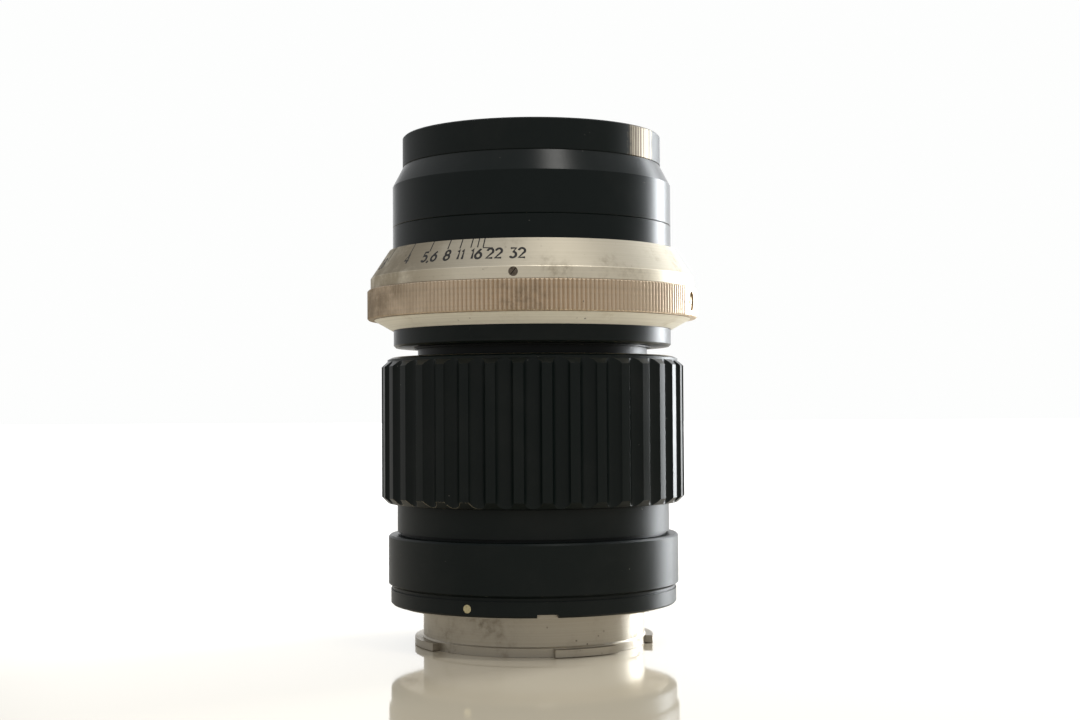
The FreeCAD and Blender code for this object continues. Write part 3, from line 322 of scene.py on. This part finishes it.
def bright_metal(name, base, stain, roughness=0.3, lines=9.0, stains=0.5, pits=0.5, seed=0.0,
                 metallic=0.92, dull_side=None, shade_above=None):
    """Turned bright metal: rings from the tool, brown stains, pits and rust blotches.

    dull_side is a bearing round which the stains are heavier.
    The last argument is a level over which the surface is rougher and painted darker: painted shade that
    tones down the lamp's highlight there."""
    shader = Shader(name)
    ring_lines = shader.lathe_lines(lines, seed)
    broad = shader.noise(85.0, 6.0, 0.68, offset=seed)
    fine = shader.noise(900.0, 4.0, 0.65, offset=seed + 2.0)
    pit_zone = shader.step(shader.noise(150.0, 2.0, offset=seed + 5.0), 0.60 - 0.12 * pits, 0.70)
    pit = shader.specks(480.0, 0.11, pit_zone)
    spread = shader.both(shader.step(broad, 0.56 - 0.1 * stains, 0.75), shader.step(fine, 0.3, 0.7))
    blotch = shader.noise(420.0, 5.0, 0.72, offset=seed + 9.0)
    blotch = shader.step(blotch, 0.70 - 0.09 * stains, 0.74)
    rusty = shader.step(shader.noise(110.0, 3.0, 0.6, offset=seed + 11.0), 0.56, 0.66)
    if dull_side is not None:
        share = shader.step(shader.nearness(dull_side), 0.45, 0.95)
        mottle = shader.both(share, shader.step(broad, 0.34, 0.58))
        spread = shader.math("MAXIMUM", spread, shader.math("MULTIPLY", mottle, 0.9))
        rusty = shader.math("MAXIMUM", rusty, shader.math("MULTIPLY", share, 0.75))
    colour = shader.mix(shader.math("MULTIPLY", spread, 0.75), base, stain)
    in_rings = shader.math("MULTIPLY", shader.step(ring_lines, 0.35, 0.75), 0.16)
    colour = shader.mix(in_rings, colour, GRIME)
    colour = shader.mix(shader.math("MULTIPLY", pit, 0.85), colour, RUST)
    colour = shader.mix(shader.both(blotch, rusty), colour, RUST)
    finish = shader.blend(spread, roughness, roughness + 0.22)
    # Painted shade: over the given level the colour is pulled towards a dark tone to tone down the
    # lamp's highlight; the added roughness is a finish.
    if shade_above is not None:
        shade_mask = shader.math("GREATER_THAN", shader.split()[2], shade_above)
        colour = shader.mix(shader.math("MULTIPLY", shade_mask, 0.44), colour, PAINTED_SHADE_TONE)
        finish = shader.math("ADD", finish, shader.math("MULTIPLY", shade_mask, 0.14))
    shader.set("Base Color", colour)
    shader.set("Metallic", shader.blend(pit, metallic, 0.2))
    shader.set("Roughness", finish)
    shader.set("Anisotropic", 0.35)
    shader.bump([(ring_lines, 0.004 * MM), (fine, 0.003 * MM)], 0.06 * MM)
    return shader.material


def screw_metal(name, base, seed=0.0):
    """Dull screw steel with scratches across the head."""
    shader = Shader(name)
    scratches = shader.noise(60.0, 4.0, 0.7, shader.stretched((40.0, 6.0, 30.0)), seed)
    dirt = shader.noise(1400.0, 3.0, 0.6, offset=seed)
    edge = shader.edges(0.1 * MM)
    shine = shader.math("MULTIPLY", shader.step(edge, 0.08, 0.3), 0.7)
    colour = shader.mix(shader.step(dirt, 0.45, 0.68), base, SCREW_DIRT)
    colour = shader.mix(shine, colour, SCREW_SHINE)
    shader.set("Base Color", colour)
    shader.set("Metallic", 0.95)
    shader.set("Roughness", shader.blend(scratches, 0.22, 0.5))
    shader.bump([(scratches, 0.006 * MM), (dirt, 0.004 * MM)], 0.05 * MM)
    return shader.material


def coated_glass(name, tint, coat):
    """Lens glass with a faint coating colour, dust and hairline cleaning marks."""
    shader = Shader(name)
    smear = shader.noise(140.0, 5.0, 0.6)
    dust = shader.specks(900.0, 0.05, shader.step(shader.noise(300.0, 1.0), 0.6, 0.7))
    shader.set("Base Color", tint)
    shader.set("Transmission Weight", shader.blend(dust, 1.0, 0.4))
    shader.set("IOR", 1.45)
    shader.set("Roughness", shader.blend(shader.step(smear, 0.5, 0.8), 0.0, 0.02))
    shader.set("Specular Tint", coat)
    shader.bump([(smear, 0.0006 * MM)])
    return shader.material


def paint(name, base, seed=0.0):
    """Engraving or index paint: slightly chipped and dusty."""
    shader = Shader(name)
    chips = shader.noise(2600.0, 4.0, 0.7, offset=seed)
    darker = tuple(0.6 * channel for channel in base[:3]) + (1.0,)
    shader.set("Base Color", shader.mix(shader.step(chips, 0.5, 0.68), base, darker))
    shader.set("Roughness", shader.blend(chips, 0.45, 0.75))
    shader.bump([(chips, 0.004 * MM)])
    return shader.material


def assign(material, *names):
    """Make this the one material of these CAD nodes."""
    for name in names:
        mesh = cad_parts[name].data
        mesh.materials.clear()
        mesh.materials.append(material)


CARRIAGE_BLACK = black_anodised("carriage_black", 0.38, wear=0.5, lines=2.0, seed=5.0)


def dress_black_parts():
    """The anodised barrels, rings and grip, and the matt pieces inside."""
    assign(black_anodised("rear_ring_black", 0.40, wear=0.35, lines=6.0, seed=11.0, line_depth=0.003),
           "rear_ring")
    assign(black_anodised("barrel_black", 0.42, wear=0.25, lines=6.0, seed=4.0), "fixed_barrel",
           "nut_retainer")
    assign(black_anodised("grip_black", 0.36, wear=0.22, lines=5.0, seed=8.0,
                          chips=(-66.0, -18.0, GRIP_LOW[2] + 1.3 * MM),
                          bare_above=GRIP_HIGH[2] - 0.13 * MM), "focus_grip")
    assign(black_anodised("lock_ring_black", 0.34, wear=0.9, lines=5.0, seed=3.0), "grip_lock_ring")
    assign(black_anodised("adapter_black", 0.33, wear=0.35, lines=8.0, seed=2.0), "adapter_flange")
    assign(black_anodised("front_black", 0.29, wear=0.25, lines=9.0, seed=6.0, line_depth=0.008),
           "front_barrel_lower", "front_barrel_upper")
    assign(black_anodised("rim_black", 0.45, wear=0.40, lines=9.0, seed=1.5, patch=(46.5, 67.5)),
           "front_rim")
    assign(black_anodised("inner_black", 0.62, wear=0.1, lines=3.0, seed=9.0, line_depth=0.02),
           "name_ring", "front_cell", "front_spacer_ring", "rear_cell", "rear_spacer_ring",
           "rear_retaining_ring", "mount_baffle", "carriage_baffle", "iris_base_plate",
           "iris_cover_ring", "iris_drive_ring")
    assign(CARRIAGE_BLACK, "lens_carriage")


def dress_bright_parts():
    """The bare metal pieces: scale, rear cone, knurl, bayonet and nut."""
    # The scale cone above its foot is painted darker, as painted shade against the lamp's highlight
    # there.
    assign(bright_metal("scale_aluminium", rgb(0.78, 0.71, 0.57), rgb(0.27, 0.215, 0.14), 0.40,
                        lines=7.0, stains=0.75, pits=0.9, seed=3.0, metallic=0.8, dull_side=-80.0,
                        shade_above=CONE_FOOT + 0.1 * MM), "scale_ring")
    assign(bright_metal("rear_cone_aluminium", rgb(1.0, 0.97, 0.87), rgb(0.60, 0.52, 0.38), 0.50,
                        lines=7.0, stains=0.3, pits=0.3, seed=12.0, metallic=0.12), "main_barrel")
    assign(bright_metal("knurl_nickel", rgb(0.64, 0.51, 0.37), rgb(0.21, 0.16, 0.11), 0.38, lines=2.0,
                        stains=0.6, pits=0.8, seed=7.0, metallic=0.8, dull_side=-88.0), "knurled_ring")
    assign(bright_metal("mount_chrome", rgb(0.42, 0.38, 0.31), rgb(0.16, 0.125, 0.085), 0.36,
                        lines=8.0, stains=0.9, pits=1.0, seed=21.0), "bayonet_mount")
    assign(bright_metal("nut_brass", rgb(0.62, 0.46, 0.20), rgb(0.25, 0.17, 0.07), 0.3, lines=6.0,
                        stains=0.3, pits=0.2, seed=15.0), "focus_nut")


def dress_small_parts():
    """Screws, keys, the index dot and the iris blades."""
    assign(screw_metal("set_screw_steel", rgb(0.42, 0.34, 0.22), seed=1.0), "knurl_set_screw")
    assign(screw_metal("small_screw_steel", rgb(0.16, 0.13, 0.10), seed=2.0), "drive_pin_screw")
    assign(screw_metal("inner_screw_steel", rgb(0.40, 0.38, 0.34), seed=3.0), "mount_screws",
           "key_screws", "adapter_screws", "guide_keys", "focus_stop_pin")
    assign(paint("dot_paint", rgb(0.52, 0.45, 0.25), seed=2.0), "index_dot")
    blades = [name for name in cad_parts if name.startswith("iris_blade")]
    assign(screw_metal("blade_steel", rgb(0.10, 0.10, 0.11), seed=5.0), *blades)


def dress_glasses():
    """The six glasses, with a faint coating colour each for the front, the inner ones and the rear."""
    assign(coated_glass("front_glass", rgb(0.97, 0.98, 1.0), rgb(0.24, 0.20, 0.36)), "front_element")
    assign(coated_glass("inner_glass", rgb(0.98, 0.99, 0.98), rgb(0.15, 0.13, 0.19)),
           "front_inner_crown", "front_inner_flint", "rear_inner_flint", "rear_inner_crown")
    assign(coated_glass("rear_glass", rgb(0.98, 0.98, 1.0), rgb(0.26, 0.21, 0.15)), "rear_element")


# ---------------------------------------------------------------- the engraved aperture scale

ARC_STEP = 15.0


def arc(centre_x, centre_y, radius_x, radius_y, start, end):
    """Points of an elliptical arc between two angles in degrees."""
    count = max(3, int(abs(end - start) / ARC_STEP) + 1)
    points = []
    for index in range(count):
        angle = math.radians(start + (end - start) * index / (count - 1))
        points.append((centre_x + radius_x * math.cos(angle), centre_y + radius_y * math.sin(angle)))
    return points


# Each figure is a list of pen strokes in a box 1 high. Widths are in the same unit.
FIGURES = {
    "1": (0.22, [[(0.02, 0.80), (0.16, 1.0), (0.16, 0.0)]]),
    "2": (0.56, [arc(0.28, 0.72, 0.26, 0.28, 170, -35) + [(0.02, 0.0), (0.56, 0.0)]]),
    "3": (0.54, [[(0.04, 1.0), (0.52, 1.0), (0.27, 0.62)] + arc(0.26, 0.31, 0.27, 0.31, 80, -150)]),
    "4": (0.58, [[(0.42, 0.0), (0.42, 1.0), (0.0, 0.30), (0.58, 0.30)]]),
    "5": (0.52, [[(0.50, 1.0), (0.10, 1.0), (0.05, 0.56)] + arc(0.25, 0.32, 0.26, 0.32, 125, -150)]),
    "6": (0.54, [arc(0.27, 0.31, 0.26, 0.31, 0, 360), [(0.44, 1.0), (0.20, 0.72)]
                 + arc(0.27, 0.31, 0.26, 0.31, 160, 180)]),
    "8": (0.54, [arc(0.27, 0.75, 0.22, 0.25, 0, 360), arc(0.27, 0.27, 0.26, 0.27, 0, 360)]),
    ",": (0.16, [[(0.10, 0.06), (0.02, -0.16)]]),
}
FIGURE_GAP = 0.20
FIGURE_HEIGHT = 2.2 * MM
STROKE_HALF = 0.235 * MM
MARK_HALF = 0.12 * MM
STROKE_PROUD = 0.012 * MM

SLANT = math.hypot(BAND_RADIUS - SCALE_TOP_RADIUS, SCALE_TOP - CONE_FOOT)
FIRST_STOP = 32.0
FIRST_BEARING = -17.5
DEGREES_PER_STOP_UNIT = 150.4


def stop_bearing(stop):
    """Bearing of a stop's mark: the opening is in proportion to the ring's turn."""
    return FIRST_BEARING - DEGREES_PER_STOP_UNIT * (1.0 / stop - 1.0 / FIRST_STOP)


def on_cone(bearing, down, proud):
    """A point on the scale cone: down is the distance from its top edge along the slant."""
    share = down / SLANT
    radius = SCALE_TOP_RADIUS + (BAND_RADIUS - SCALE_TOP_RADIUS) * share
    level = SCALE_TOP + (CONE_FOOT - SCALE_TOP) * share
    outward = direction(bearing)
    slope = math.atan2(BAND_RADIUS - SCALE_TOP_RADIUS, SCALE_TOP - CONE_FOOT)
    normal = outward * math.cos(slope) + Vector((0.0, 0.0, math.sin(slope)))
    return outward * radius + Vector((0.0, 0.0, level)) + normal * proud


def stroke_mesh(strokes, half_width):
    """A flat mesh of round-ended pen strokes, in the plane of the strokes."""
    curve = bpy.data.curves.new("strokes", "CURVE")
    curve.dimensions = "3D"
    curve.bevel_depth = half_width
    curve.bevel_resolution = 2
    curve.use_fill_caps = True
    for stroke in strokes:
        spline = curve.splines.new("POLY")
        spline.points.add(len(stroke) - 1)
        for point, (x, y) in zip(spline.points, stroke):
            point.co = (x, y, 0.0, 1.0)
    holder = bpy.data.objects.new("strokes", curve)
    mesh = bpy.data.meshes.new_from_object(holder)
    bpy.data.objects.remove(holder)
    bpy.data.curves.remove(curve)
    return mesh


def wrap_on_cone(name, strokes, bearing, down, material, half_width=STROKE_HALF):
    """Strokes laid on the scale cone, centred at a bearing: x runs along it and y up its slant."""
    mesh = stroke_mesh(strokes, half_width)
    radius = on_cone(bearing, down, 0.0).xy.length
    for vertex in mesh.vertices:
        x, y, z = vertex.co
        turn = math.degrees(x / radius)
        height = z / half_width * STROKE_PROUD
        vertex.co = on_cone(bearing + turn, down - y, height)
    mesh.materials.clear()
    mesh.materials.append(material)
    for face in mesh.polygons:
        face.use_smooth = True
    piece = bpy.data.objects.new(name, mesh)
    bpy.context.scene.collection.objects.link(piece)
    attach(piece, "aperture_ring")


def number_strokes(text):
    """The strokes of a number, centred on x = 0, in metres."""
    width = sum(FIGURES[figure][0] for figure in text) + FIGURE_GAP * (len(text) - 1)
    pen = -0.5 * width
    strokes = []
    for figure in text:
        figure_width, figure_strokes = FIGURES[figure]
        for stroke in figure_strokes:
            strokes.append([((pen + x) * FIGURE_HEIGHT, y * FIGURE_HEIGHT) for x, y in stroke])
        pen += figure_width + FIGURE_GAP
    return strokes


# Each stop: number, its text, the bearing of the text, and its mark's share of the slant.
LAST_MARK_SHARE = 0.33
STOPS = (
    (2.8, "2,8", -72.0, 0.52), (4.0, "4", -50.3, 0.52), (5.6, "5,6", -38.6, 0.36),
    (8.0, "8", -30.8, 0.34), (11.0, "11", -25.5, 0.34), (16.0, "16", -19.5, LAST_MARK_SHARE),
    (22.0, "22", -13.0, LAST_MARK_SHARE), (32.0, "32", -4.9, LAST_MARK_SHARE),
)
TEXT_FOOT = 0.70
MARK_START = 0.12 * MM
LEG_LENGTH = 1.9 * MM
LEG_DROP = 0.1 * MM


def build_scale():
    """The numbers and marks of the stops, with the short leg that joins the last mark to its number."""
    ink = paint("engraving_black", rgb(0.012, 0.011, 0.010), 4.0)
    for stop, text, text_bearing, share in STOPS:
        label = text.replace(",", "_")
        wrap_on_cone("number_" + label, number_strokes(text), text_bearing, TEXT_FOOT * SLANT, ink)
        length = share * SLANT
        line = [(0.0, length), (0.0, MARK_START)]
        wrap_on_cone("mark_" + label, [line], stop_bearing(stop), length, ink, MARK_HALF)
    leg = [(0.0, 0.0), (LEG_LENGTH, -LEG_DROP)]
    wrap_on_cone("mark_32_leg", [leg], FIRST_BEARING, LAST_MARK_SHARE * SLANT, ink, MARK_HALF)


# ---------------------------------------------------------------- the focusing thread

THREAD_STARTS = 8
THREAD_LEAD = 20.0 * MM
THREAD_ROOT = 22.9 * MM
THREAD_CREST = 23.66 * MM
ROOT_HALF = 0.70 * MM
CREST_HALF = 0.375 * MM
THREAD_LOW = 44.6 * MM
THREAD_HIGH = GRIP_HIGH[2] - 0.4 * MM
THREAD_STEPS = 120
THREAD_MERGE = 0.001 * MM


def build_thread():
    """The helical ridges outside the carriage, over the plain band that the CAD body has there."""
    bm = bmesh.new()
    profile = ((THREAD_ROOT, -ROOT_HALF), (THREAD_CREST, -CREST_HALF), (THREAD_CREST, CREST_HALF),
               (THREAD_ROOT, ROOT_HALF))
    turns = (THREAD_HIGH - THREAD_LOW + 2.0 * ROOT_HALF) / THREAD_LEAD
    for start in range(THREAD_STARTS):
        rows = []
        for step in range(THREAD_STEPS + 1):
            turned = turns * step / THREAD_STEPS
            level = THREAD_LOW - ROOT_HALF + turned * THREAD_LEAD
            outward = direction(360.0 * (start / THREAD_STARTS + turned))
            row = []
            for radius, rise in profile:
                height = min(max(level + rise, THREAD_LOW), THREAD_HIGH)
                row.append(bm.verts.new(outward * radius + Vector((0.0, 0.0, height))))
            rows.append(row)
        for row, following in zip(rows, rows[1:]):
            for corner in range(len(profile)):
                after = (corner + 1) % len(profile)
                bm.faces.new((row[corner], row[after], following[after], following[corner]))
        bm.faces.new(rows[0])
        bm.faces.new(rows[-1])
    bmesh.ops.dissolve_degenerate(bm, dist=THREAD_MERGE, edges=bm.edges)
    bmesh.ops.recalc_face_normals(bm, faces=bm.faces)
    mesh = bpy.data.meshes.new("carriage_thread")
    bm.to_mesh(mesh)
    bm.free()
    mesh.materials.append(CARRIAGE_BLACK)
    piece = bpy.data.objects.new("carriage_thread", mesh)
    bpy.context.scene.collection.objects.link(piece)
    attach(piece, "lens_head")


# ---------------------------------------------------------------- stage, light and camera

def floor_material():
    """A polished pale worktop: it mirrors the backlight and keeps a warm tone in the shade."""
    shader = Shader("floor_polished")
    grain = shader.noise(30.0, 3.0)
    shader.set("Base Color", rgb(0.66, 0.585, 0.45))
    shader.set("Roughness", shader.blend(grain, 0.05, 0.07))
    shader.set("IOR", 1.9)
    return shader.material


FLOOR_HALF = 6.0
FLOOR_DROP = 0.02 * MM


def build_floor():
    """A wide flat table just under the lens."""
    mesh = bpy.data.meshes.new("floor")
    half = FLOOR_HALF
    mesh.from_pydata([(-half, -half, 0), (half, -half, 0), (half, half, 0), (-half, half, 0)], [],
                     [(0, 1, 2, 3)])
    floor = bpy.data.objects.new("floor", mesh)
    floor.location.z = -FLOOR_DROP
    mesh.materials.append(floor_material())
    bpy.context.scene.collection.objects.link(floor)


FRONT_LEVEL = 0.56
CEILING_LEVEL = 0.16
BACK_LEVEL = 1.05
BACK_MIDDLE = (0.22, 0.975, 0.03)
BACK_EDGE = (0.72, 0.88)
CEILING_EDGE = (0.10, 0.75)


def soft_ramp(tree, source, edge, rise):
    """A level that is 0 before an edge and rise after it. edge is (where it starts, where it ends)."""
    ramp = tree.nodes.new("ShaderNodeMapRange")
    ramp.interpolation_type = "SMOOTHSTEP"
    ramp.inputs["From Min"].default_value = edge[0]
    ramp.inputs["From Max"].default_value = edge[1]
    ramp.inputs["To Min"].default_value = 0.0
    ramp.inputs["To Max"].default_value = rise
    tree.links.new(source, ramp.inputs["Value"])
    return ramp.outputs["Result"]


def build_world():
    """A bright sweep behind the lens, a light ceiling and a dimmer room in front."""
    world = bpy.data.worlds.new("studio")
    bpy.context.scene.world = world
    world.use_nodes = True
    tree = world.node_tree
    tree.nodes.clear()
    place = tree.nodes.new("ShaderNodeTexCoord").outputs["Generated"]
    split = tree.nodes.new("ShaderNodeSeparateXYZ")
    tree.links.new(place, split.inputs[0])
    towards_back = tree.nodes.new("ShaderNodeVectorMath")
    towards_back.operation = "DOT_PRODUCT"
    towards_back.inputs[1].default_value = BACK_MIDDLE
    tree.links.new(place, towards_back.inputs[0])
    back = soft_ramp(tree, towards_back.outputs["Value"], BACK_EDGE, BACK_LEVEL)
    ceiling = soft_ramp(tree, split.outputs[2], CEILING_EDGE, CEILING_LEVEL)
    total = tree.nodes.new("ShaderNodeMath")
    tree.links.new(back, total.inputs[0])
    tree.links.new(ceiling, total.inputs[1])
    lifted = tree.nodes.new("ShaderNodeMath")
    tree.links.new(total.outputs[0], lifted.inputs[0])
    lifted.inputs[1].default_value = FRONT_LEVEL
    lit = tree.nodes.new("ShaderNodeBackground")
    tree.links.new(lifted.outputs[0], lit.inputs["Strength"])
    lit.inputs["Color"].default_value = rgb(0.98, 0.99, 1.0)
    seen = tree.nodes.new("ShaderNodeBackground")
    seen.inputs["Color"].default_value = rgb(0.985, 0.99, 0.985)
    seen.inputs["Strength"].default_value = 1.0
    path = tree.nodes.new("ShaderNodeLightPath")
    choose = tree.nodes.new("ShaderNodeMixShader")
    tree.links.new(path.outputs["Is Camera Ray"], choose.inputs[0])
    tree.links.new(lit.outputs[0], choose.inputs[1])
    tree.links.new(seen.outputs[0], choose.inputs[2])
    output = tree.nodes.new("ShaderNodeOutputWorld")
    tree.links.new(choose.outputs[0], output.inputs["Surface"])
    bpy.context.scene.view_settings.view_transform = "Standard"


def add_light(name, place, target, width, height, power, colour):
    """A soft rectangular light that faces a point."""
    data = bpy.data.lights.new(name, "AREA")
    data.shape = "RECTANGLE"
    data.size = width
    data.size_y = height
    data.energy = power
    data.color = colour
    lamp = bpy.data.objects.new(name, data)
    lamp.location = place
    aim = Vector(target) - Vector(place)
    lamp.rotation_euler = aim.to_track_quat("-Z", "Y").to_euler()
    bpy.context.scene.collection.objects.link(lamp)


def build_lights():
    """A tall light behind on the right for the bright edges, and a small one over the front right."""
    lens_middle = (0.0, 0.0, 0.055)
    lens_front = (0.0, 0.0, 0.09)
    add_light("right_edge", (0.40, 0.30, 0.14), lens_middle, width=0.16, height=0.40, power=4.0,
              colour=(0.93, 0.97, 1.0))
    add_light("front_right", (0.115, -0.188, 0.507), lens_front, width=0.09, height=0.09, power=0.52,
              colour=(1.0, 0.98, 0.94))


SENSOR_WIDTH_MM = 36.0
LENS_LENGTH_MM = 54.173333
CLIP_START = 0.01
CAMERA_PLACE = Vector((0.0, -326.3 * MM, 46.04 * MM))
CAMERA_PITCH = 1.769
CAMERA_YAW = 0.265
CAMERA_ROLL = -0.345


def build_camera():
    """The camera in front of the lens, a little turned, tilted and rolled. Its angles are in degrees."""
    data = bpy.data.cameras.new("camera")
    data.sensor_width = SENSOR_WIDTH_MM
    data.lens = LENS_LENGTH_MM
    data.clip_start = CLIP_START
    camera = bpy.data.objects.new("camera", data)
    turn = (Matrix.Rotation(math.radians(-CAMERA_YAW), 4, "Z")
            @ Matrix.Rotation(math.radians(90.0 + CAMERA_PITCH), 4, "X")
            @ Matrix.Rotation(math.radians(CAMERA_ROLL), 4, "Z"))
    camera.matrix_world = Matrix.Translation(CAMERA_PLACE) @ turn
    bpy.context.scene.collection.objects.link(camera)
    bpy.context.scene.camera = camera


build_camera()
build_floor()
build_world()
build_lights()
dress_black_parts()
dress_bright_parts()
dress_small_parts()
dress_glasses()
build_scale()
build_thread()
